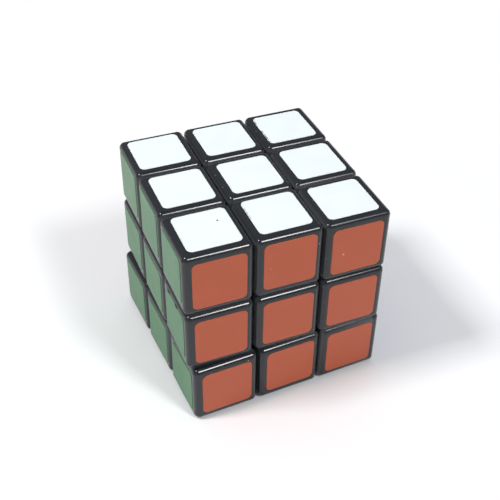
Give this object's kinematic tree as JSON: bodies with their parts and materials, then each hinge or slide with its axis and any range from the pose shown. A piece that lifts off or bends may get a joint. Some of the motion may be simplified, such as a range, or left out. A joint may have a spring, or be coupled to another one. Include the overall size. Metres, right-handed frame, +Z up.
{
  "type": "twisty puzzle cube",
  "caption": "Stickered twisty puzzle cube: black plastic corner, edge and centre pieces on a sprung core, with top and bottom layers that turn.",
  "frame": {"origin": "middle of the core, where the axles cross, which is the middle of the cube", "axes": "+Z up out of the white face, -Y out of the orange front face, -X out of the green left face"},
  "size_m": [0.0596, 0.0596, 0.0573],
  "materials": {
    "black_plastic": "moulded black plastic, glossy with fine scuffs",
    "steel": "plain steel",
    "white_vinyl": "satin white vinyl sticker",
    "yellow_vinyl": "satin yellow vinyl sticker",
    "orange_vinyl": "satin orange vinyl sticker",
    "blue_vinyl": "satin blue vinyl sticker",
    "red_vinyl": "satin red vinyl sticker",
    "green_vinyl": "satin green vinyl sticker"
  },
  "bodies": {
    "core": {"core": "black_plastic", "screws": "steel", "washers": "steel", "springs": "steel", "edge_front_right": "black_plastic", "edge_right_back": "black_plastic", "edge_back_left": "black_plastic", "edge_left_front": "black_plastic", "orange_middle_stickers": "orange_vinyl", "blue_middle_stickers": "blue_vinyl", "red_middle_stickers": "red_vinyl", "green_middle_stickers": "green_vinyl"},
    "top_layer": {"edge_top_front": "black_plastic", "edge_top_right": "black_plastic", "edge_top_back": "black_plastic", "edge_top_left": "black_plastic", "corner_top_front_right": "black_plastic", "corner_top_right_back": "black_plastic", "corner_top_back_left": "black_plastic", "corner_top_left_front": "black_plastic", "white_stickers": "white_vinyl", "orange_top_stickers": "orange_vinyl", "blue_top_stickers": "blue_vinyl", "red_top_stickers": "red_vinyl", "green_top_stickers": "green_vinyl"},
    "bottom_layer": {"edge_bottom_front": "black_plastic", "edge_bottom_right": "black_plastic", "edge_bottom_back": "black_plastic", "edge_bottom_left": "black_plastic", "corner_bottom_front_right": "black_plastic", "corner_bottom_right_back": "black_plastic", "corner_bottom_back_left": "black_plastic", "corner_bottom_left_front": "black_plastic", "yellow_stickers": "yellow_vinyl", "orange_bottom_stickers": "orange_vinyl", "blue_bottom_stickers": "blue_vinyl", "red_bottom_stickers": "red_vinyl", "green_bottom_stickers": "green_vinyl"},
    "top_centre": {"centre_top": "black_plastic", "cap_top": "black_plastic", "white_centre_sticker": "white_vinyl"},
    "bottom_centre": {"centre_bottom": "black_plastic", "cap_bottom": "black_plastic", "yellow_centre_sticker": "yellow_vinyl"},
    "front_centre": {"centre_front": "black_plastic", "cap_front": "black_plastic", "orange_centre_sticker": "orange_vinyl"},
    "right_centre": {"centre_right": "black_plastic", "cap_right": "black_plastic", "blue_centre_sticker": "blue_vinyl"},
    "back_centre": {"centre_back": "black_plastic", "cap_back": "black_plastic", "red_centre_sticker": "red_vinyl"},
    "left_centre": {"centre_left": "black_plastic", "cap_left": "black_plastic", "green_centre_sticker": "green_vinyl"}
  },
  "joints": [
    {"name": "top_layer_turn", "type": "hinge", "parent": "core", "child": "top_layer", "pos_m": [0, 0, 0], "axis": [0, 0, 1], "continuous": true},
    {"name": "bottom_layer_turn", "type": "hinge", "parent": "core", "child": "bottom_layer", "pos_m": [0, 0, 0], "axis": [0, 0, -1], "continuous": true},
    {"name": "top_centre_lift", "type": "slide", "parent": "top_layer", "child": "top_centre", "axis": [0, 0, 1], "range_m": [0, 0.0008], "stiffness_N_per_m": 900, "springref_m": -0.0012, "deforming": ["springs"]},
    {"name": "bottom_centre_lift", "type": "slide", "parent": "bottom_layer", "child": "bottom_centre", "axis": [0, 0, -1], "range_m": [0, 0.0008], "stiffness_N_per_m": 900, "springref_m": -0.0012, "deforming": ["springs"]},
    {"name": "front_centre_lift", "type": "slide", "parent": "core", "child": "front_centre", "axis": [0, -1, 0], "range_m": [0, 0.0008], "stiffness_N_per_m": 900, "springref_m": -0.0012, "deforming": ["springs"]},
    {"name": "right_centre_lift", "type": "slide", "parent": "core", "child": "right_centre", "axis": [1, 0, 0], "range_m": [0, 0.0008], "stiffness_N_per_m": 900, "springref_m": -0.0012, "deforming": ["springs"]},
    {"name": "back_centre_lift", "type": "slide", "parent": "core", "child": "back_centre", "axis": [0, 1, 0], "range_m": [0, 0.0008], "stiffness_N_per_m": 900, "springref_m": -0.0012, "deforming": ["springs"]},
    {"name": "left_centre_lift", "type": "slide", "parent": "core", "child": "left_centre", "axis": [-1, 0, 0], "range_m": [0, 0.0008], "stiffness_N_per_m": 900, "springref_m": -0.0012, "deforming": ["springs"]}
  ]
}
